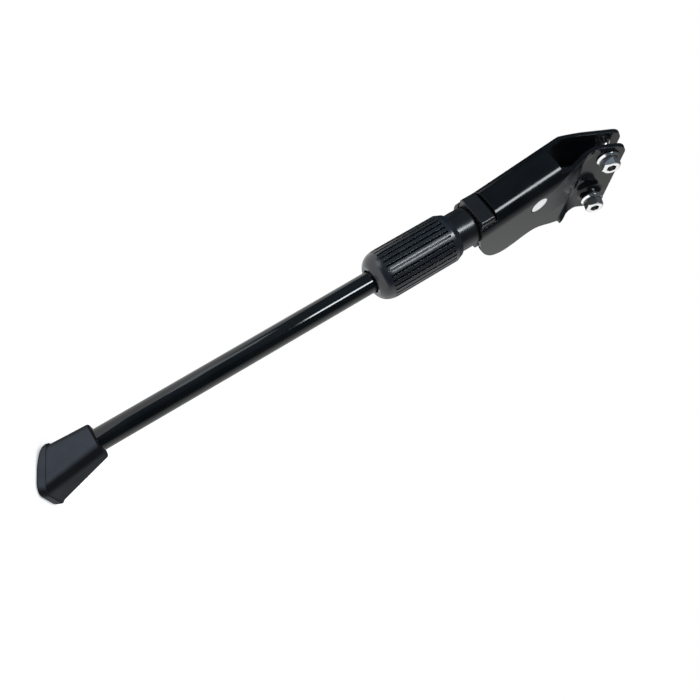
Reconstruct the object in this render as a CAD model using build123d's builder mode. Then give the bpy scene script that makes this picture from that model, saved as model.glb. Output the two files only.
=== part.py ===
from build123d import *
import math
import os

# Side kickstand for a bicycle: a pressed bracket, a folding leg of adjustable length and a foot.
# The origin lies on the inner face of the inboard plate, midway between the two frame bolts.
# +X is forward, +Y outboard along the bolts, +Z up. The leg is swung down.

os.makedirs("parts", exist_ok=True)

# Plates that clamp the frame's tab
SHEET = 2.5
TAB_GAP = 7.5
PLATE_FRONT = 26.3
PLATE_REAR = 31.5
PLATE_ENDS = 6.0
PLATE_TOP_FRONT = 8.0
PLATE_TOP_REAR = 11.2
PLATE_CORNER_R = 6.0
BOSS_HEIGHT = 4.5
BOSS_R = 5.4
BOSS_FLARE_R = 3.4

# Frame bolts and nuts
BOLT_SPACING = 33.0
BOLT_R = 3.0
BOLT_HOLE_R = 3.3
BOLT_TAIL = 0.8
BOLT_POINT = 0.6
FLANGE_R = 6.6
FLANGE_RIM = 0.9
FLANGE_RISE = 1.0
HEX_FLATS = 9.5
HEX_END_R = 4.4
HEX_END_SLOPE = 30.0
HEAD_HEIGHT = 7.2
SOCKET_FLATS = 5.0
SOCKET_DEPTH = 3.5
NUT_COLLAR_R = 5.0
NUT_COLLAR = 2.2
NUT_SHANK_R = 4.2
NUT_RECESS = 0.2
THREAD_GAP = 0.05
PRESS_GAP = 0.01

# Bracket channel, measured from the leg's axis at the height of the pivot
SPLAY = 25.0
AXIS_FORWARD = 12.0
PIVOT_DROP = 52.2
CREASE_RISE = 35.0
CREASE_R = 50.0
CHEEK_HALF = 12.7
BEND_R = 10.0
WEB_PITCH = 9.5
WEB_HEIGHT = 18.4
WEB_MOUTH = 29.2
WEB_END = 14.3
CHEEK_ARC_R = 40.2
LOBE_ANGLE = 45.0
LOWER_EDGE = 25.0
LOWER_SWELL = 4.8
HEEL_REAR = 37.2
HEEL_RISE = 30.0
SHOULDER_EDGE = 18.3
SHOULDER_LENGTH = 28.0

# Joggle that brings the outboard cheek in to its plate. At each station along the bracket the crest
# has a drop from the cheek and a rise up the leg, and the wall behind it has a slope.
FRONT_STATION = 16.0
FRONT_DROP = 2.2
FRONT_RISE = 23.5
FRONT_SLOPE = 22.0
LOBE_STATION = 3.0
LOBE_LENGTH = 10.0
LOBE_DROP = 2.0
LOBE_RISE = 32.5
LOBE_SLOPE = 56.0
HEEL_STATION = -14.0
HEEL_LENGTH = 16.0
HEEL_CREST = 30.0
HEEL_SLOPE = 50.0
EDGE_STATION = -42.0
EDGE_CREST = 33.5
EDGE_SLOPE = 32.0
LOBE_START = 7.0
JOGGLE_ROUND = 0.42

# Pivot rivet
PIVOT_AHEAD = 3.5
RIVET_R = 3.0
RIVET_HEAD_R = 5.5
RIVET_HEAD_DEPTH = 1.6
RIVET_RING = 0.4
RIVET_CLEARANCE = 0.05

# Leg head: block, neck, threaded spigot and the tongue that turns on the rivet
SIDE_CLEARANCE = 0.2
STOP_GAP = 0.3
NECK_R = 11.15
NECK_LENGTH = 17.0
NECK_SHOWN = 12.0
GROOVE_R = 9.4
BLOCK_GROOVE = 0.7
BLOCK_LENGTH = 8.7
BLOCK_TOP = 13.3
BLOCK_BOTTOM = 11.0
BLOCK_CORNER_R = 2.0
TONGUE_R = 12.0
TONGUE_EDGE_R = 7.5
SPIGOT_R = 10.25
SPIGOT_LENGTH = 31.0
ROD_BORE_R = 7.0
SEAT_WALL = 5.0

# Spring-loaded plunger and the block that it rests on
PLUNGER_R = 5.4
PLUNGER_TAIL = 12.0
PLUNGER_TRAVEL = 2.5
PLUNGER_PROUD = 0.1
PLUNGER_SLOT_GAP = 0.3
RUNNING_GAP = 0.05
SPRING_SEAT = 24.0
SPRING_COIL_R = 4.2
SPRING_WIRE_R = 0.6
SPRING_TURNS = 4.5
STOP_BLOCK_GAP = 0.4
STOP_BLOCK_THICK = 6.5
STOP_BLOCK_FRONT = 8.0
STOP_BLOCK_REAR = 6.0
STOP_BLOCK_SHORT = 2.5

# Twist sleeve and collet that grip the rod
SLEEVE_R = 14.0
NOSE_WALL = 4.8
SLEEVE_LIP_R = 12.6
SLEEVE_LIP = 3.5
NOSE_RIM_R = 8.8
NOSE_HOLE_R = 6.8
NOSE_LENGTH = 10.0
RIB_COUNT = 30
RIB_LENGTH = 39.8
RIB_FROM_NOSE = 6.8
GROOVE_WIDTH = 1.0
GROOVE_DEPTH = 0.8
THREAD_RUN = 0.08
NECK_RUN = 0.3
COLLET_LENGTH = 11.0
COLLET_WALL_TOP = 3.4
COLLET_WALL_END = 1.5
COLLET_SLOTS = 3
COLLET_SLOT_WIDTH = 1.2
COLLET_SLOT_LENGTH = 8.0
CONE_GAP = 0.3

# Rod, stop bush and foot
ROD_R = 6.0
ROD_WALL = 2.0
ROD_RUN = 0.05
ROD_INSERT = 24.5
ROD_SHOWN = 158.9
BUSH_LENGTH = 8.0
BUSH_PLUG = 8.0
GLUE_GAP = 0.05
FOOT_LENGTH = 26.5
FOOT_TOP_WIDTH = 17.6
FOOT_TOP_CORNER_R = 7.5
SOLE_LENGTH = 27.6
SOLE_WIDTH = 25.3
SOLE_FORWARD = 1.0
SOLE_OUTBOARD = 2.8
SOLE_CORNER_R = 6.5
SOLE_EDGE_R = 1.5
RIM_HEIGHT = 4.2
RIM_STEP = 0.7
TREAD_R = 42.0
TREAD_OUTBOARD = 2.0
FOOT_TOP_EDGE_R = 1.2
FOOT_SOCKET = 18.0

# Planes of the leg: local x is forward, y outboard along the pivot, z up the leg
splay = math.radians(SPLAY)
pitch = math.radians(WEB_PITCH)
axis_outboard = CREASE_RISE * math.sin(splay) + CHEEK_HALF * math.cos(splay) - SHEET
leg = Plane(
    origin=(AXIS_FORWARD, axis_outboard, -PIVOT_DROP),
    x_dir=(1, 0, 0),
    z_dir=(0, -math.sin(splay), math.cos(splay)),
)
leg_axis = Axis(leg.origin, leg.z_dir)
side = Plane(origin=leg.origin, x_dir=leg.x_dir, z_dir=-leg.y_dir)
pivot_point = leg.from_local_coords((PIVOT_AHEAD, 0, 0))
pivot_side = Plane(origin=pivot_point, x_dir=leg.x_dir, z_dir=-leg.y_dir)
pivot_across = Plane(origin=pivot_point, x_dir=leg.x_dir, z_dir=leg.z_dir)
leg_section = Plane(origin=leg.origin, x_dir=leg.y_dir, z_dir=leg.x_dir)
web_section = Plane(
    origin=leg.origin,
    x_dir=-leg.y_dir,
    z_dir=leg.x_dir * math.sin(pitch) + leg.z_dir * math.cos(pitch),
)

# Lengths shared by several pieces
REACH = 120.0
cheek_inner = CHEEK_HALF - SHEET
near_face = TAB_GAP + SHEET
bolt_x = BOLT_SPACING / 2
neck_face = CHEEK_ARC_R + STOP_GAP
neck_end = neck_face + NECK_LENGTH
spigot_end = neck_end + SPIGOT_LENGTH
block_front = neck_face - BLOCK_GROOVE
rod_bore_top = SPRING_SEAT + SEAT_WALL
head_half = cheek_inner - SIDE_CLEARANCE
plunger_bore_r = PLUNGER_R + RUNNING_GAP
plunger_nose = TONGUE_R + PLUNGER_PROUD
stop_face = TONGUE_R + STOP_BLOCK_GAP
collet_bore_r = ROD_R + ROD_RUN
collet_end = spigot_end + COLLET_LENGTH
sleeve_tail = neck_face + NECK_SHOWN
sleeve_nose = collet_end + CONE_GAP + NOSE_WALL
rib_start = sleeve_nose - RIB_FROM_NOSE
foot_top = sleeve_nose + ROD_SHOWN
rod_end = foot_top + FOOT_SOCKET - GLUE_GAP
bush_end = spigot_end - ROD_INSERT + BUSH_LENGTH


def plate_at(outboard):
    """Upright plane across the bolts, x forward and y up."""
    return Plane.XZ.offset(-outboard)


def across_leg(down):
    """Plane square to the leg, a distance below the pivot."""
    return leg.offset(-down)


def outboard_outline(forward, drop, rise, slope, inset):
    """Section across the bracket at one station: cheek, crest, wall and plate, with the skin set inward."""
    fall = math.tan(math.radians(slope))
    lean = math.tan(splay)
    plate_foot = (axis_outboard - near_face) / math.cos(splay)
    # Corners of the wall with the cheek and with the plate, then the points where the bends start and end
    crest = Vector(CHEEK_HALF - drop, rise)
    valley_rise = (crest.X + fall * rise + plate_foot) / (fall + lean)
    valley = Vector(lean * valley_rise - plate_foot, valley_rise)
    start = Vector(CHEEK_HALF, LOBE_START)
    along_cheek = (crest - start).normalized()
    along_wall = (valley - crest).normalized()
    along_plate = Vector(math.sin(splay), math.cos(splay))
    bend = JOGGLE_ROUND * (valley - crest).length
    points = [start, crest - along_cheek * bend, (crest + valley) / 2, valley + along_plate * bend]
    ways = [Vector(0, 1), along_cheek, along_wall, along_plate]
    skin = [point - Vector(way.Y, -way.X) * inset for point, way in zip(points, ways)]
    plate_end = skin[-1] + along_plate * REACH
    with BuildSketch(leg_section.offset(forward)) as outline:
        with BuildLine():
            Polyline(plate_end, (-REACH, plate_end.Y), (-REACH, -REACH), (skin[0].X, -REACH), skin[0])
            Spline(*skin, tangents=ways)
            Line(skin[-1], plate_end)
        make_face()
    return outline.sketch


def pressed_form(inset):
    """Solid bounded by the bracket's outer skin, with that skin moved inward."""
    half = CHEEK_HALF - inset
    top = WEB_HEIGHT - inset
    reach = REACH + inset
    bend = BEND_R - inset
    web = Plane(origin=web_section.from_local_coords((0, top, 0)), z_dir=web_section.y_dir)
    front = (FRONT_DROP, FRONT_RISE, FRONT_SLOPE, inset)
    lobe = (LOBE_DROP, LOBE_RISE, LOBE_SLOPE, inset)
    heel = (0, HEEL_CREST, HEEL_SLOPE, inset)
    edge = (0, EDGE_CREST, EDGE_SLOPE, inset)
    stations = [
        outboard_outline(REACH / 2, *front),
        outboard_outline(FRONT_STATION, *front),
        outboard_outline(LOBE_STATION, *lobe),
        outboard_outline(LOBE_STATION - LOBE_LENGTH, *lobe),
        outboard_outline(HEEL_STATION, *heel),
        outboard_outline(HEEL_STATION - HEEL_LENGTH, *heel),
        outboard_outline(EDGE_STATION, *edge),
        outboard_outline(-REACH / 2, *edge),
    ]
    with BuildPart() as form:
        loft(stations, ruled=True)
        # Web and its two bends
        split(bisect_by=web, keep=Keep.BOTTOM)
        with BuildSketch(web_section):
            for turn in (-1, 1):
                with Locations((turn * (half - bend / 2), top - bend / 2)):
                    Rectangle(bend, bend)
                with Locations((turn * (half - bend), top - bend)):
                    Circle(bend, mode=Mode.SUBTRACT)
        extrude(amount=reach, both=True, mode=Mode.SUBTRACT)
        # Inboard side: the cheek runs over a wide bend into its upright plate
        crease = (axis_outboard + SHEET - inset - half * math.cos(splay)) / math.sin(splay)
        with BuildSketch(leg_section) as inboard_side:
            with BuildLine():
                Polyline(
                    (-half, -reach),
                    (-half, crease),
                    (reach * math.sin(splay) - half, crease + reach * math.cos(splay)),
                    (reach, crease + reach * math.cos(splay)),
                    (reach, -reach),
                    close=True,
                )
            make_face()
            fillet(inboard_side.vertices().sort_by_distance((-half, crease, 0))[0], CREASE_R - inset)
        extrude(amount=2 * reach, both=True, mode=Mode.INTERSECT)
    return form.part


outer_form = pressed_form(0)
inner_form = pressed_form(SHEET)

with BuildPart() as bracket:
    add(outer_form)
    # Boss under the rear bolt, drawn out of the outboard plate with a flared foot
    with BuildSketch(Plane(origin=(-bolt_x, near_face, 0), x_dir=(1, 0, 0), z_dir=(0, 0, 1))):
        with BuildLine():
            flare_foot = (BOSS_R + BOSS_FLARE_R, 0)
            flare_end = (BOSS_R, BOSS_FLARE_R)
            Polyline(
                flare_end,
                (BOSS_R, BOSS_HEIGHT),
                (0, BOSS_HEIGHT),
                (0, -SHEET),
                (BOSS_R + BOSS_FLARE_R, -SHEET),
                flare_foot,
            )
            TangentArc(flare_foot, flare_end, tangent=(-1, 0))
        make_face()
    revolve(axis=Axis((-bolt_x, 0, 0), (0, 1, 0)))
    add(inner_form, mode=Mode.SUBTRACT)
    # Side view of both cheeks: toe edge, arc about the pivot, lower edge, heel, plate ends, front edge
    with BuildSketch(side):
        with BuildLine():
            lobe = math.radians(LOBE_ANGLE)
            arc_start = (PIVOT_AHEAD, -CHEEK_ARC_R)
            arc_middle = (
                PIVOT_AHEAD - CHEEK_ARC_R * math.sin(lobe / 2),
                -CHEEK_ARC_R * math.cos(lobe / 2),
            )
            arc_end = (PIVOT_AHEAD - CHEEK_ARC_R * math.sin(lobe), -CHEEK_ARC_R * math.cos(lobe))
            plate_rear = (-PLATE_REAR - AXIS_FORWARD, HEEL_RISE + 2.5 * PLATE_CORNER_R)
            plate_front = (PLATE_FRONT - AXIS_FORWARD, WEB_END + SHOULDER_LENGTH)
            Line((REACH, -CHEEK_ARC_R), arc_start)
            ThreePointArc(arc_start, arc_middle, arc_end)
            Spline(
                arc_end,
                (-LOWER_EDGE - LOWER_SWELL, -CHEEK_ARC_R * 0.4),
                (-LOWER_EDGE, CHEEK_ARC_R * 0.1),
                (-(LOWER_EDGE + HEEL_REAR) / 2, HEEL_RISE * 0.65),
                (-HEEL_REAR, HEEL_RISE),
                plate_rear,
                tangents=[(-math.cos(lobe), math.sin(lobe)), (0, 1)],
            )
            Polyline(
                plate_rear,
                (plate_rear[0], REACH),
                (plate_front[0], REACH),
                plate_front,
            )
            Spline(plate_front, (SHOULDER_EDGE, WEB_END), tangents=[(0, -1), (0, -1)])
            Polyline((SHOULDER_EDGE, WEB_END), (REACH, WEB_END), (REACH, -CHEEK_ARC_R))
        make_face()
    extrude(amount=REACH, both=True, mode=Mode.INTERSECT)
    # Top edge of both plates, open below
    with BuildSketch(plate_at(0)) as top_edge:
        with BuildLine():
            Polyline(
                (REACH, -REACH),
                (REACH, -PLATE_ENDS),
                (PLATE_FRONT, -PLATE_ENDS),
                (PLATE_FRONT, PLATE_TOP_FRONT),
                (-PLATE_REAR, PLATE_TOP_REAR),
                (-PLATE_REAR, -PLATE_ENDS),
                (-REACH, -PLATE_ENDS),
                (-REACH, -REACH),
                close=True,
            )
        make_face()
        fillet(top_edge.vertices().sort_by(Axis.Y)[-2:], PLATE_CORNER_R)
    extrude(amount=REACH, both=True, mode=Mode.INTERSECT)
    # Mouth in the web that the leg's block closes
    with BuildSketch(across_leg(CHEEK_ARC_R + SHEET)):
        with Locations((REACH / 2, 0)):
            Rectangle(REACH, 2 * cheek_inner)
    extrude(amount=CHEEK_ARC_R + SHEET - WEB_MOUTH, mode=Mode.SUBTRACT)
    # Bolt holes in the outboard plate, wider holes for the pressed nuts in the inboard plate
    with BuildSketch(plate_at(0)):
        with Locations((bolt_x, 0), (-bolt_x, 0)):
            Circle(BOLT_HOLE_R)
    extrude(amount=-REACH, mode=Mode.SUBTRACT)
    with BuildSketch(plate_at(0)):
        with Locations((bolt_x, 0), (-bolt_x, 0)):
            Circle(NUT_SHANK_R + PRESS_GAP)
    extrude(amount=REACH, mode=Mode.SUBTRACT)
    # Countersunk rivet holes in the cheeks
    with BuildSketch(pivot_across):
        with BuildLine():
            Polyline(
                (0, -CHEEK_HALF),
                (RIVET_HEAD_R, -CHEEK_HALF),
                (RIVET_R, RIVET_HEAD_DEPTH - CHEEK_HALF),
                (RIVET_R, CHEEK_HALF - RIVET_HEAD_DEPTH),
                (RIVET_HEAD_R, CHEEK_HALF),
                (0, CHEEK_HALF),
                close=True,
            )
        make_face()
    revolve(axis=Axis(pivot_point, leg.y_dir), mode=Mode.SUBTRACT)

bracket.part.label = "bracket"
export_step(bracket.part, "parts/bracket.step")

with BuildPart() as pivot_rivet:
    # Each head leaves a narrow ring open in its countersink
    with BuildSketch(pivot_across):
        with BuildLine():
            Polyline(
                (0, -CHEEK_HALF),
                (RIVET_HEAD_R - RIVET_RING, -CHEEK_HALF),
                (RIVET_R, RIVET_HEAD_DEPTH - CHEEK_HALF),
                (RIVET_R, CHEEK_HALF - RIVET_HEAD_DEPTH),
                (RIVET_HEAD_R - RIVET_RING, CHEEK_HALF),
                (0, CHEEK_HALF),
                close=True,
            )
        make_face()
    revolve(axis=Axis(pivot_point, leg.y_dir))

pivot_rivet.part.label = "pivot_rivet"
export_step(pivot_rivet.part, "parts/pivot_rivet.step")

with BuildPart() as stop_block:
    with BuildSketch(across_leg(-stop_face)):
        with Locations(((STOP_BLOCK_FRONT - STOP_BLOCK_REAR) / 2, -STOP_BLOCK_SHORT / 2)):
            Rectangle(STOP_BLOCK_FRONT + STOP_BLOCK_REAR, 2 * cheek_inner - STOP_BLOCK_SHORT)
    extrude(amount=STOP_BLOCK_THICK)

stop_block.part.label = "stop_block"
export_step(stop_block.part, "parts/stop_block.step")

with BuildPart() as leg_head:
    # Tongue: straight back parallel to the web, round end about the rivet
    with BuildSketch(pivot_side):
        with BuildLine():
            back_touch = (TONGUE_R * math.cos(pitch), -TONGUE_R * math.sin(pitch))
            back_start = (back_touch[0] - (block_front + back_touch[1]) * math.tan(pitch), -block_front)
            Line(back_start, back_touch)
            ThreePointArc(back_touch, (0, TONGUE_R), (-TONGUE_R, 0))
            Polyline((-TONGUE_R, 0), (-TONGUE_R, -block_front), back_start)
        make_face()
    extrude(amount=head_half, both=True)
    fillet(leg_head.edges().filter_by(GeomType.CIRCLE), TONGUE_EDGE_R)
    # Block that closes the mouth of the channel
    with BuildSketch(across_leg(block_front)):
        with Locations(((BLOCK_TOP - BLOCK_BOTTOM) / 2, 0)):
            RectangleRounded(BLOCK_TOP + BLOCK_BOTTOM, 2 * head_half, BLOCK_CORNER_R)
    extrude(amount=BLOCK_LENGTH)
    with BuildSketch(across_leg(neck_face)):
        Circle(GROOVE_R)
    extrude(amount=BLOCK_GROOVE)
    with BuildSketch(across_leg(neck_end)):
        Circle(NECK_R)
    extrude(amount=NECK_LENGTH)
    with BuildSketch(across_leg(spigot_end)):
        Circle(SPIGOT_R)
    extrude(amount=SPIGOT_LENGTH)
    # Bore for the rod, bore for the plunger, hole for the rivet
    with BuildSketch(across_leg(spigot_end)):
        Circle(ROD_BORE_R)
    extrude(amount=spigot_end - rod_bore_top, mode=Mode.SUBTRACT)
    with BuildSketch(across_leg(SPRING_SEAT)):
        with Locations((PIVOT_AHEAD, 0)):
            Circle(plunger_bore_r)
    extrude(amount=SPRING_SEAT + 2 * TONGUE_R, mode=Mode.SUBTRACT)
    with BuildSketch(pivot_side):
        Circle(RIVET_R + RIVET_CLEARANCE)
    extrude(amount=CHEEK_HALF, both=True, mode=Mode.SUBTRACT)

leg_head.part.label = "leg_head"
export_step(leg_head.part, "parts/leg_head.step")

with BuildPart() as detent_plunger:
    with BuildSketch(pivot_side):
        with BuildLine():
            nose_edge = math.sqrt(plunger_nose**2 - PLUNGER_R**2)
            Polyline(
                (0, plunger_nose),
                (0, -PLUNGER_TAIL),
                (PLUNGER_R, -PLUNGER_TAIL),
                (PLUNGER_R, nose_edge),
            )
            RadiusArc((PLUNGER_R, nose_edge), (0, plunger_nose), -plunger_nose)
        make_face()
    revolve(axis=Axis(pivot_point, leg.z_dir))
    # Slot that lets the plunger slide past the rivet
    with BuildSketch(pivot_side):
        with Locations((0, PLUNGER_TRAVEL / 2)):
            SlotCenterToCenter(PLUNGER_TRAVEL, 2 * (RIVET_R + PLUNGER_SLOT_GAP), rotation=90)
    extrude(amount=2 * PLUNGER_R, both=True, mode=Mode.SUBTRACT)

detent_plunger.part.label = "detent_plunger"
export_step(detent_plunger.part, "parts/detent_plunger.step")

with BuildPart() as detent_spring:
    spring_height = SPRING_SEAT - PLUNGER_TAIL - 2 * SPRING_WIRE_R
    spring_start = leg.from_local_coords((PIVOT_AHEAD, 0, SPRING_WIRE_R - SPRING_SEAT))
    with BuildLine() as coil:
        Helix(
            pitch=spring_height / SPRING_TURNS,
            height=spring_height,
            radius=SPRING_COIL_R,
            center=spring_start,
            direction=leg.z_dir,
        )
    with BuildSketch(Plane(origin=coil.line @ 0, z_dir=coil.line % 0)):
        Circle(SPRING_WIRE_R)
    sweep(is_frenet=True)

detent_spring.part.label = "detent_spring"
export_step(detent_spring.part, "parts/detent_spring.step")

# Cone of the collet, and the sleeve's inner cone at a constant distance from it
collet_top_r = collet_bore_r + COLLET_WALL_TOP
collet_end_r = collet_bore_r + COLLET_WALL_END

with BuildPart() as clamp_collet:
    with BuildSketch(Plane(origin=leg.origin, x_dir=leg.x_dir, z_dir=-leg.y_dir)):
        with BuildLine():
            Polyline(
                (collet_bore_r, -spigot_end),
                (collet_top_r, -spigot_end),
                (collet_end_r, -collet_end),
                (collet_bore_r, -collet_end),
                close=True,
            )
        make_face()
    revolve(axis=leg_axis)
    with BuildSketch(across_leg(collet_end)):
        with PolarLocations(ROD_R, COLLET_SLOTS):
            Rectangle(2 * COLLET_WALL_TOP + ROD_R, COLLET_SLOT_WIDTH)
    extrude(amount=COLLET_SLOT_LENGTH, mode=Mode.SUBTRACT)

clamp_collet.part.label = "clamp_collet"
export_step(clamp_collet.part, "parts/clamp_collet.step")

with BuildPart() as lock_sleeve:
    with BuildSketch(side):
        with BuildLine():
            thread_r = SPIGOT_R + THREAD_RUN
            tail_bore_r = NECK_R + NECK_RUN
            cone_end_r = collet_end_r + CONE_GAP
            bell = (SLEEVE_R, NOSE_LENGTH - sleeve_nose)
            Polyline(
                (NOSE_RIM_R, -sleeve_nose),
                (NOSE_HOLE_R, -sleeve_nose),
                (NOSE_HOLE_R, -collet_end - CONE_GAP),
                (cone_end_r, -collet_end - CONE_GAP),
                (collet_top_r + CONE_GAP, -spigot_end - CONE_GAP),
                (thread_r, -spigot_end - CONE_GAP),
                (thread_r, -neck_end - NECK_RUN),
                (tail_bore_r, -neck_end - NECK_RUN),
                (tail_bore_r, -sleeve_tail),
                (SLEEVE_LIP_R, -sleeve_tail),
                (SLEEVE_R, -sleeve_tail - SLEEVE_LIP),
                bell,
            )
            Spline(bell, (NOSE_RIM_R, -sleeve_nose), tangents=[(0, -1), (-1, -0.45)])
        make_face()
    revolve(axis=leg_axis)
    # Grooves between the grip ribs
    with BuildSketch(across_leg(rib_start)):
        with PolarLocations(SLEEVE_R, RIB_COUNT):
            Rectangle(2 * GROOVE_DEPTH, GROOVE_WIDTH)
    extrude(amount=RIB_LENGTH, mode=Mode.SUBTRACT)

lock_sleeve.part.label = "lock_sleeve"
export_step(lock_sleeve.part, "parts/lock_sleeve.step")

with BuildPart() as leg_rod:
    with BuildSketch(across_leg(rod_end)):
        Circle(ROD_R)
        Circle(ROD_R - ROD_WALL, mode=Mode.SUBTRACT)
    extrude(amount=rod_end - bush_end)

leg_rod.part.label = "leg_rod"
export_step(leg_rod.part, "parts/leg_rod.step")

with BuildPart() as rod_stop_bush:
    with BuildSketch(across_leg(bush_end)):
        Circle(ROD_BORE_R - ROD_RUN)
    extrude(amount=BUSH_LENGTH)
    with BuildSketch(across_leg(bush_end)):
        Circle(ROD_R - ROD_WALL)
    extrude(amount=-BUSH_PLUG)

rod_stop_bush.part.label = "rod_stop_bush"
export_step(rod_stop_bush.part, "parts/rod_stop_bush.step")

# The sole is level when the leg is down, and its tread curves up towards the inboard side
leg_foot = leg.from_local_coords((SOLE_FORWARD, 0, -foot_top - FOOT_LENGTH))
sole = Plane(origin=leg_foot + Vector(0, SOLE_OUTBOARD, 0), x_dir=(1, 0, 0), z_dir=(0, 0, 1))
tread = Plane(origin=sole.from_local_coords((0, TREAD_OUTBOARD, 0)), x_dir=(0, 1, 0), z_dir=(1, 0, 0))

with BuildPart() as foot:
    # Rim around the sole
    with BuildSketch(sole):
        RectangleRounded(SOLE_LENGTH, SOLE_WIDTH, SOLE_CORNER_R)
    extrude(amount=RIM_HEIGHT)
    with BuildSketch(tread):
        with BuildLine():
            TangentArc((0, 0), (-TREAD_R, TREAD_R), tangent=(-1, 0))
            Polyline((-TREAD_R, TREAD_R), (SOLE_WIDTH, TREAD_R), (SOLE_WIDTH, 0), (0, 0))
        make_face()
    extrude(amount=SOLE_LENGTH, both=True, mode=Mode.INTERSECT)
    sole_edges = foot.edges().filter_by(
        lambda e: abs((e % 0.5).Z) < 0.9
        and sole.to_local_coords(e @ 0.5).Z < RIM_HEIGHT - 1e-3
        and abs(tread.to_local_coords(e @ 0.5).X) > 1e-3
    )
    fillet(sole_edges, SOLE_EDGE_R)
    # Body that tapers from the rim to the rod, and the rod's socket
    with BuildSketch(sole.offset(RIM_HEIGHT)):
        RectangleRounded(SOLE_LENGTH - 2 * RIM_STEP, SOLE_WIDTH - 2 * RIM_STEP, SOLE_CORNER_R - RIM_STEP)
    with BuildSketch(across_leg(foot_top)):
        RectangleRounded(FOOT_TOP_WIDTH, FOOT_TOP_WIDTH, FOOT_TOP_CORNER_R)
    loft()
    fillet(foot.faces().sort_by(leg_axis)[-1].edges(), FOOT_TOP_EDGE_R)
    with BuildSketch(across_leg(foot_top)):
        Circle(ROD_R + GLUE_GAP)
    extrude(amount=-FOOT_SOCKET, mode=Mode.SUBTRACT)

foot.part.label = "foot"
export_step(foot.part, "parts/foot.step")

for name, along, seat in (("front", bolt_x, near_face), ("rear", -bolt_x, near_face + BOSS_HEIGHT)):
    bolt_line = Axis((along, 0, 0), (0, 1, 0))
    bolt_plane = Plane(origin=(along, 0, 0), x_dir=(1, 0, 0), z_dir=(0, 0, 1))
    nut_end = -SHEET - NUT_COLLAR
    bolt_end = nut_end - BOLT_TAIL
    head_end = seat + HEAD_HEIGHT
    hex_r = HEX_FLATS / math.sqrt(3)
    hex_fall = (hex_r + BOLT_POINT - HEX_END_R) * math.tan(math.radians(HEX_END_SLOPE))

    with BuildPart() as bolt:
        with BuildSketch(bolt_plane):
            with BuildLine():
                Polyline(
                    (0, bolt_end),
                    (BOLT_R - BOLT_POINT, bolt_end),
                    (BOLT_R, bolt_end + BOLT_POINT),
                    (BOLT_R, seat),
                    (FLANGE_R, seat),
                    (FLANGE_R, seat + FLANGE_RIM),
                    (hex_r, seat + FLANGE_RIM + FLANGE_RISE),
                    (0, seat + FLANGE_RIM + FLANGE_RISE),
                    close=True,
                )
            make_face()
        revolve(axis=bolt_line)
        with BuildSketch(plate_at(head_end)):
            with Locations((along, 0)):
                RegularPolygon(hex_r, 6)
        extrude(amount=HEAD_HEIGHT - FLANGE_RIM)
        # Turned end of the hexagon, then the key socket
        with BuildSketch(bolt_plane):
            with BuildLine():
                Polyline(
                    (HEX_END_R, head_end),
                    (hex_r + BOLT_POINT, head_end),
                    (hex_r + BOLT_POINT, head_end - hex_fall),
                    close=True,
                )
            make_face()
        revolve(axis=bolt_line, mode=Mode.SUBTRACT)
        with BuildSketch(plate_at(head_end)):
            with Locations((along, 0)):
                RegularPolygon(SOCKET_FLATS / math.sqrt(3), 6)
        extrude(amount=SOCKET_DEPTH, mode=Mode.SUBTRACT)

    bolt.part.label = f"{name}_bolt"
    export_step(bolt.part, f"parts/{name}_bolt.step")

    with BuildPart() as nut:
        with BuildSketch(bolt_plane):
            with BuildLine():
                Polyline(
                    (BOLT_R + THREAD_GAP, -NUT_RECESS),
                    (NUT_SHANK_R, -NUT_RECESS),
                    (NUT_SHANK_R, -SHEET),
                    (NUT_COLLAR_R, -SHEET),
                    (NUT_COLLAR_R, nut_end),
                    (BOLT_R + THREAD_GAP, nut_end),
                    close=True,
                )
            make_face()
        revolve(axis=bolt_line)

    nut.part.label = f"{name}_nut"
    export_step(nut.part, f"parts/{name}_nut.step")
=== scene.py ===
import math
import bpy
from mathutils import Matrix, Vector


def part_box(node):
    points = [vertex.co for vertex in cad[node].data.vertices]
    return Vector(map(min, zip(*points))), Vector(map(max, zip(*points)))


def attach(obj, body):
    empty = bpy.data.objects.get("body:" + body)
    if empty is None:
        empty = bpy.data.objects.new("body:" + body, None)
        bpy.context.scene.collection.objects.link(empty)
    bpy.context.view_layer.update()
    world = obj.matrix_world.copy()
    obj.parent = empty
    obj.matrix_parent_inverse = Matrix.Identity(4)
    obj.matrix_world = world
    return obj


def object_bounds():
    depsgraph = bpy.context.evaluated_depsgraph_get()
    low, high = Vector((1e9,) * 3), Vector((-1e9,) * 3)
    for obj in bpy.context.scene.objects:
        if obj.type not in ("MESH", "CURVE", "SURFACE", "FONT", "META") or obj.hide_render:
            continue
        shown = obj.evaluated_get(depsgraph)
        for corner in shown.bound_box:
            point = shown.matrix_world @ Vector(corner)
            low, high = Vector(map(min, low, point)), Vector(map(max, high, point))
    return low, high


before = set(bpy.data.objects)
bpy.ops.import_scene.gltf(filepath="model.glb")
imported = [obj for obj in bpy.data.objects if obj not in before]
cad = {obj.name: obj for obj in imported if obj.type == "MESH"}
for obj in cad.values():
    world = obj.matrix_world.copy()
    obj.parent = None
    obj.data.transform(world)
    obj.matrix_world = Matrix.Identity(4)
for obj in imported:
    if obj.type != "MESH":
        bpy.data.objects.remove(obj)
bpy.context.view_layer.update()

# Camera, placed as the photo was taken
EYE = Vector((0.3573, 0.2501, -0.1939))
RIGHT = Vector((0.0229, 0.1498, 0.9884)).normalized()
AWAY = Vector((-0.9195, -0.3848, 0.0796)).normalized()
TOP = RIGHT.cross(AWAY).normalized()
RIGHT = AWAY.cross(TOP).normalized()
LENS = 37.8
SENSOR_WIDTH = 36.0
CLIP_START = 0.01
CLIP_END = 50

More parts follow.
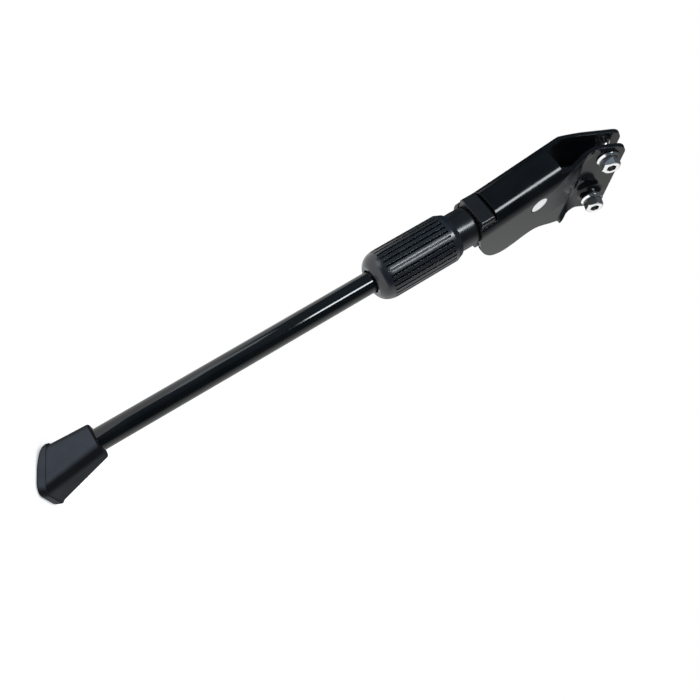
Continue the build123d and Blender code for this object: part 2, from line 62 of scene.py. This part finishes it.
# Light: fill on matte surfaces, and the room and backdrop as reflections show them
FILL = 0.7
ROOM_LOW = 0.03
ROOM_HIGH = 0.22
ROOM_COLOR = (0.55, 0.78, 1.0, 1)
ROOM_SIDE = TOP * 0.75 - AWAY * 0.65
BACKDROP_SHINE = 1.0
BACKDROP_SIDE = RIGHT * 0.25 - TOP * 0.85 + AWAY * 0.45

# Lamps and the points that they are turned to
LAMP_COLOR = (0.88, 0.95, 1.0)
CENTRE = Vector((0.013, 0.075, -0.15))
NOSE = Vector((0.012, 0.085, -0.16))
CARD_SPOT = Vector((0.25, -0.02, -0.28))

# Floor: its edges, its distance below the sole and its lift to white
FLOOR_NEAR = 0.25
FLOOR_FAR = -3.0
FLOOR_SIDE = 3.0
FLOOR_GAP = 0.0004
PAPER_COLOR = (0.86, 0.86, 0.86, 1)
PAPER_ROUGHNESS = 0.9
PAPER_LIFT = 0.40

# Paint: the span of the noise that is used, its detail, the samples of edges and hollows, and the
# tone of the painted shade in hollows
NOISE_START = 0.3
NOISE_END = 0.7
PAINT_DETAIL = 4.0
GRAIN_DETAIL = 2.0
EDGE_SAMPLES = 6
HOLLOW_SAMPLES = 8
HOLLOW_SHADE_TONE = 0.02
METAL = 0.5

# Thread of the bolts
OUTBOARD = Vector((0, 1, 0))
THREAD_START = 0.0004
THREAD_ROOT = 0.00298
THREAD_CREST = 0.00318
THREAD_PITCH = 0.001
THREAD_LENGTH = 0.0067
THREAD_STEPS = 40
THREAD_FADE = 4.0
RIDGE_START, RIDGE_RISE, RIDGE_FALL, RIDGE_END = 0.08, 0.44, 0.56, 0.92


def math_step(tree, operation, first, second):
    """One step of arithmetic on two sockets or numbers."""
    made = tree.nodes.new("ShaderNodeMath")
    made.operation = operation
    for socket, value in zip(made.inputs, (first, second)):
        if isinstance(value, float):
            socket.default_value = value
        else:
            tree.links.new(value, socket)
    return made.outputs["Value"]


def ranged(tree, value, start, end, low, high):
    """A value that runs from low to high as another runs from start to end."""
    made = tree.nodes.new("ShaderNodeMapRange")
    made.inputs["From Min"].default_value = start
    made.inputs["From Max"].default_value = end
    made.inputs["To Min"].default_value = low
    made.inputs["To Max"].default_value = high
    tree.links.new(value, made.inputs["Value"])
    return made.outputs["Result"]


class Paint:
    """A principled material with procedural detail in object coordinates."""

    def __init__(self, name, color, roughness, metallic=0.0, specular=0.5):
        self.material = bpy.data.materials.new(name)
        self.material.use_nodes = True
        self.tree = self.material.node_tree
        self.surface = self.tree.nodes["Principled BSDF"].inputs
        self.surface["Base Color"].default_value = (*color, 1)
        self.surface["Roughness"].default_value = roughness
        self.surface["Metallic"].default_value = metallic
        self.surface["Specular IOR Level"].default_value = specular
        self.place = self.node("ShaderNodeTexCoord").outputs["Object"]
        self.normal = None

    def node(self, kind, **values):
        made = self.tree.nodes.new(kind)
        for key, value in values.items():
            setattr(made, key, value)
        return made

    def link(self, start, end):
        self.tree.links.new(start, end)

    def noise(self, scale, detail):
        made = self.node("ShaderNodeTexNoise")
        made.inputs["Scale"].default_value = scale
        made.inputs["Detail"].default_value = detail
        self.link(self.place, made.inputs["Vector"])
        return made.outputs["Fac"]

    def patches(self, scale, low, high):
        """Noise spread over a range of values."""
        noise = self.noise(scale, PAINT_DETAIL)
        return ranged(self.tree, noise, NOISE_START, NOISE_END, low, high)

    def patchy_roughness(self, scale, low, high):
        self.link(self.patches(scale, low, high), self.surface["Roughness"])

    def patchy_color(self, scale, first, second):
        mix = self.node("ShaderNodeMix", data_type="RGBA")
        mix.inputs["A"].default_value = (*first, 1)
        mix.inputs["B"].default_value = (*second, 1)
        self.link(self.patches(scale, 0.0, 1.0), mix.inputs["Factor"])
        self.link(mix.outputs["Result"], self.surface["Base Color"])

    def soft_edges(self, radius):
        bevel = self.node("ShaderNodeBevel", samples=EDGE_SAMPLES)
        bevel.inputs["Radius"].default_value = radius
        self.normal = bevel.outputs["Normal"]
        self.link(self.normal, self.surface["Normal"])

    def shade(self, mask):
        """Multiplies the patchy colour by a mask."""
        mix = self.node("ShaderNodeMix", data_type="RGBA", blend_type="MULTIPLY")
        mix.inputs["Factor"].default_value = 1.0
        self.link(self.surface["Base Color"].links[0].from_socket, mix.inputs["A"])
        self.link(mask, mix.inputs["B"])
        self.link(mix.outputs["Result"], self.surface["Base Color"])

    def paint_hollow_shade(self, distance, start, end):
        """Paints shade into narrow grooves and sockets: it turns them black, and where the paint is
        no metal, turns them to metal, which has no gloss when it is black, so their reflections are
        taken away too.
        """
        hollow = self.node("ShaderNodeAmbientOcclusion", samples=HOLLOW_SAMPLES)
        hollow.inputs["Distance"].default_value = distance
        open_air = hollow.outputs["AO"]
        if self.surface["Metallic"].default_value < METAL:
            self.link(ranged(self.tree, open_air, start, end, 1.0, 0.0), self.surface["Metallic"])
        self.shade(ranged(self.tree, open_air, start, end, HOLLOW_SHADE_TONE, 1.0))

    def paint_facing_light_and_shade(self, toward, stops):
        """Paints light and shade into the colour by the way the surface faces, in the object's own
        axes.
        """
        facing = self.node("ShaderNodeVectorMath", operation="DOT_PRODUCT")
        self.link(self.node("ShaderNodeTexCoord").outputs["Normal"], facing.inputs[0])
        facing.inputs[1].default_value = toward
        ramp = self.node("ShaderNodeValToRGB")
        while len(ramp.color_ramp.elements) < len(stops):
            ramp.color_ramp.elements.new(0.5)
        for element, (place, tone) in zip(ramp.color_ramp.elements, stops):
            element.position = place
            element.color = (tone, tone, tone, 1)
        self.link(facing.outputs["Value"], ramp.inputs["Fac"])
        self.shade(ramp.outputs["Color"])

    def grain(self, scale, height, strength):
        bump = self.node("ShaderNodeBump")
        bump.inputs["Strength"].default_value = strength
        bump.inputs["Distance"].default_value = height
        self.link(self.noise(scale, GRAIN_DETAIL), bump.inputs["Height"])
        if self.normal is not None:
            self.link(self.normal, bump.inputs["Normal"])
        self.link(bump.outputs["Normal"], self.surface["Normal"])


sheet_paint = Paint("gloss_black_sheet", (0.003, 0.004, 0.005), roughness=0.2, specular=0.3)
sheet_paint.patchy_color(scale=60, first=(0.002, 0.0025, 0.0035), second=(0.004, 0.005, 0.006))
sheet_paint.patchy_roughness(scale=45, low=0.11, high=0.18)
sheet_paint.soft_edges(radius=0.0005)
sheet_paint.grain(scale=160, height=0.00003, strength=0.1)

head_paint = Paint("gloss_black_casting", (0.005, 0.006, 0.008), roughness=0.28)
head_paint.patchy_color(scale=80, first=(0.004, 0.005, 0.007), second=(0.007, 0.008, 0.010))
head_paint.patchy_roughness(scale=60, low=0.22, high=0.34)
head_paint.soft_edges(radius=0.0007)
head_paint.grain(scale=500, height=0.00005, strength=0.2)

rod_paint = Paint("gloss_black_rod", (0.003, 0.003, 0.004), roughness=0.1)
rod_paint.patchy_color(scale=40, first=(0.002, 0.0025, 0.003), second=(0.004, 0.005, 0.006))
rod_paint.patchy_roughness(scale=35, low=0.05, high=0.09)
rod_paint.grain(scale=120, height=0.00002, strength=0.1)

nylon = Paint("satin_black_nylon", (0.009, 0.011, 0.015), roughness=0.23, specular=0.6)
nylon.patchy_color(scale=120, first=(0.007, 0.009, 0.013), second=(0.011, 0.014, 0.018))
nylon.patchy_roughness(scale=90, low=0.19, high=0.27)
# Painted shade in the grooves between the ribs, which also takes their gloss away
nylon.paint_hollow_shade(distance=0.0013, start=0.58, end=0.97)
nylon.soft_edges(radius=0.0002)
nylon.grain(scale=1500, height=0.00002, strength=0.15)

rubber = Paint("black_rubber", (0.037, 0.041, 0.050), roughness=0.5, specular=0.03)
rubber.patchy_color(scale=90, first=(0.032, 0.036, 0.044), second=(0.041, 0.045, 0.055))
rubber.patchy_roughness(scale=70, low=0.44, high=0.56)
# Painted light and shade on the foot: the front face is painted lit, the ridge darkest, the side
# and back in between
rubber.paint_facing_light_and_shade(
    toward=(1, 0, 0),
    stops=((0.1, 0.38), (0.4, 0.14), (0.72, 0.16), (0.93, 1.0)),
)
rubber.soft_edges(radius=0.0006)
rubber.grain(scale=1800, height=0.00006, strength=0.3)

zinc = Paint("bright_zinc", (0.84, 0.85, 0.85), roughness=0.15, metallic=0.95)
zinc.patchy_color(scale=400, first=(0.80, 0.81, 0.82), second=(0.90, 0.90, 0.90))
zinc.patchy_roughness(scale=300, low=0.10, high=0.20)
# Painted shade in the bolts' sockets and recesses
zinc.paint_hollow_shade(distance=0.0032, start=0.52, end=0.86)
zinc.soft_edges(radius=0.0002)
zinc.grain(scale=1500, height=0.00002, strength=0.15)

rivet_zinc = Paint("dull_zinc", (0.92, 0.92, 0.90), roughness=0.5, metallic=0.15)
rivet_zinc.patchy_color(scale=500, first=(0.86, 0.87, 0.86), second=(0.95, 0.96, 0.94))
rivet_zinc.patchy_roughness(scale=350, low=0.44, high=0.60)
rivet_zinc.soft_edges(radius=0.0003)
rivet_zinc.grain(scale=1300, height=0.00004, strength=0.35)

wire = Paint("spring_wire", (0.42, 0.42, 0.43), roughness=0.35, metallic=1.0)
wire.patchy_color(scale=600, first=(0.36, 0.36, 0.37), second=(0.48, 0.48, 0.48))
wire.patchy_roughness(scale=500, low=0.28, high=0.44)
wire.grain(scale=1600, height=0.00003, strength=0.3)

finishes = {
    "bracket": sheet_paint,
    "stop_block": head_paint,
    "pivot_rivet": rivet_zinc,
    "leg_head": head_paint,
    "detent_plunger": zinc,
    "detent_spring": wire,
    "lock_sleeve": nylon,
    "clamp_collet": nylon,
    "leg_rod": rod_paint,
    "rod_stop_bush": nylon,
    "foot": rubber,
    "front_bolt": zinc,
    "rear_bolt": zinc,
    "front_nut": zinc,
    "rear_nut": zinc,
}
for name, finish in finishes.items():
    cad[name].data.materials.clear()
    cad[name].data.materials.append(finish.material)


def thread(name, start, axis, material, body):
    """A helical ridge round a bolt's shank, from start along axis."""
    side = axis.orthogonal().normalized()
    other = axis.cross(side)
    count = int(THREAD_STEPS * (THREAD_LENGTH / THREAD_PITCH - 1))
    points = []
    faces = []
    for i in range(count + 1):
        turn = 2 * math.pi * i / THREAD_STEPS
        arm = side * math.cos(turn) + other * math.sin(turn)
        rise = THREAD_PITCH * i / THREAD_STEPS
        fade = min(1.0, THREAD_FADE * i / count, THREAD_FADE * (count - i) / count)
        tip = THREAD_ROOT + (THREAD_CREST - THREAD_ROOT) * fade
        ridge = (
            (THREAD_ROOT, RIDGE_START),
            (tip, RIDGE_RISE),
            (tip, RIDGE_FALL),
            (THREAD_ROOT, RIDGE_END),
        )
        for radius, along in ridge:
            points.append(start + arm * radius + axis * (rise + THREAD_PITCH * along))
        if i:
            a = len(ridge) * (i - 1)
            b = len(ridge) * i
            for k in range(len(ridge) - 1):
                faces.append((a + k, a + k + 1, b + k + 1, b + k))
    mesh = bpy.data.meshes.new(name)
    mesh.from_pydata(points, [], faces)
    mesh.materials.append(material)
    made = bpy.data.objects.new(name, mesh)
    bpy.context.scene.collection.objects.link(made)
    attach(made, body)


# Thread of each bolt, seen in the gap between the plates
for which in ("front", "rear"):
    low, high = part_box(which + "_bolt")
    middle = (low + high) / 2
    start = Vector((middle.x, THREAD_START, middle.z))
    thread(which + "_bolt_thread", start, OUTBOARD, zinc.material, "bracket_body")

# Floor just under the sole. The camera and reflections see it as white paper with the shadow
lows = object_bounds()[0]
plane = bpy.data.meshes.new("floor")
corners = [
    (FLOOR_FAR, FLOOR_FAR, 0),
    (FLOOR_NEAR, FLOOR_FAR, 0),
    (FLOOR_NEAR, FLOOR_SIDE, 0),
    (FLOOR_FAR, FLOOR_SIDE, 0),
]
plane.from_pydata(corners, [], [(0, 1, 2, 3)])
floor = bpy.data.objects.new("floor", plane)
floor.location = (0, 0, lows.z - FLOOR_GAP)
bpy.context.scene.collection.objects.link(floor)
paper = bpy.data.materials.new("white_paper")
paper.use_nodes = True
paper_tree = paper.node_tree
paper_surface = paper_tree.nodes["Principled BSDF"].inputs
paper_surface["Base Color"].default_value = PAPER_COLOR
paper_surface["Roughness"].default_value = PAPER_ROUGHNESS
paper_surface["Specular IOR Level"].default_value = 0.0
paper_surface["Emission Color"].default_value = (1, 1, 1, 1)
ray = paper_tree.nodes.new("ShaderNodeLightPath").outputs
paper_mirrored = math_step(paper_tree, "MAXIMUM", ray["Is Glossy Ray"], ray["Is Transmission Ray"])
paper_seen = math_step(paper_tree, "MAXIMUM", ray["Is Camera Ray"], paper_mirrored)
paper_lift = math_step(paper_tree, "MULTIPLY", paper_seen, PAPER_LIFT)
paper_tree.links.new(paper_lift, paper_surface["Emission Strength"])
plane.materials.append(paper)

# White backdrop for the camera. Reflections show one patch of it and a dim bluish room elsewhere
world = bpy.data.worlds.new("studio")
bpy.context.scene.world = world
world.use_nodes = True
sky = world.node_tree
backdrop = sky.nodes["Background"]
backdrop.inputs["Color"].default_value = (1, 1, 1, 1)
backdrop.inputs["Strength"].default_value = 1.0
room = sky.nodes.new("ShaderNodeBackground")
room.inputs["Color"].default_value = ROOM_COLOR
ray = sky.nodes.new("ShaderNodeLightPath").outputs
way = sky.nodes.new("ShaderNodeTexCoord").outputs["Generated"]


def sky_patch(toward, start, end, low, high):
    """A value that rises from low to high where the sky lies toward a direction."""
    facing = sky.nodes.new("ShaderNodeVectorMath")
    facing.operation = "DOT_PRODUCT"
    facing.inputs[1].default_value = toward.normalized()
    sky.links.new(way, facing.inputs[0])
    return ranged(sky, facing.outputs["Value"], start, end, low, high)


room_light = sky_patch(ROOM_SIDE, 0.5, 0.95, ROOM_LOW, ROOM_HIGH)
sky.links.new(room_light, room.inputs["Strength"])
behind = sky_patch(BACKDROP_SIDE, 0.55, 0.92, 0.0, BACKDROP_SHINE)
mirrored = math_step(sky, "ADD", ray["Is Glossy Ray"], ray["Is Transmission Ray"])
matte = math_step(sky, "SUBTRACT", 1.0, mirrored)
lit = math_step(sky, "MULTIPLY", matte, FILL)
shine = math_step(sky, "MULTIPLY", mirrored, behind)
lit_or_shine = math_step(sky, "ADD", lit, shine)
backdrop_share = math_step(sky, "MAXIMUM", ray["Is Camera Ray"], lit_or_shine)
split = sky.nodes.new("ShaderNodeMixShader")
sky.links.new(backdrop_share, split.inputs["Fac"])
sky.links.new(room.outputs["Background"], split.inputs[1])
sky.links.new(backdrop.outputs["Background"], split.inputs[2])
sky.links.new(split.outputs["Shader"], sky.nodes["World Output"].inputs["Surface"])


def seen(across, up, back):
    """A direction from the camera's point of view: right, up and toward it."""
    return (RIGHT * across + TOP * up - AWAY * back).normalized()


def lamp(name, spot, aim, along, length, width, power):
    """A soft box at a spot, turned to the aim, its long side along a direction."""
    data = bpy.data.lights.new(name, "AREA")
    data.shape = "RECTANGLE"
    data.size = length
    data.size_y = width
    data.energy = power
    data.color = LAMP_COLOR
    back = (spot - aim).normalized()
    long = (along - back * along.dot(back)).normalized()
    made = bpy.data.objects.new(name, data)
    turn = Matrix((long, back.cross(long), back)).transposed()
    made.matrix_world = Matrix.Translation(spot) @ turn.to_4x4()
    made.visible_camera = False
    bpy.context.scene.collection.objects.link(made)


lamp(
    "strip",
    spot=CENTRE + seen(across=0.53, up=0.21, back=0.82),
    aim=CENTRE,
    along=seen(across=0.24, up=0.15, back=-0.20),
    length=0.38,
    width=0.21,
    power=5.8,
)
lamp("card", spot=CARD_SPOT, aim=NOSE, along=OUTBOARD, length=0.16, width=0.08, power=0.08)

# Camera
lens = bpy.data.cameras.new("photo")
lens.lens = LENS
lens.sensor_width = SENSOR_WIDTH
lens.clip_start = CLIP_START
lens.clip_end = CLIP_END
camera = bpy.data.objects.new("photo", lens)
turn = Matrix((RIGHT, TOP, -AWAY)).transposed()
camera.matrix_world = Matrix.Translation(EYE) @ turn.to_4x4()
bpy.context.scene.collection.objects.link(camera)
bpy.context.scene.camera = camera
bpy.context.scene.view_settings.view_transform = "Standard"
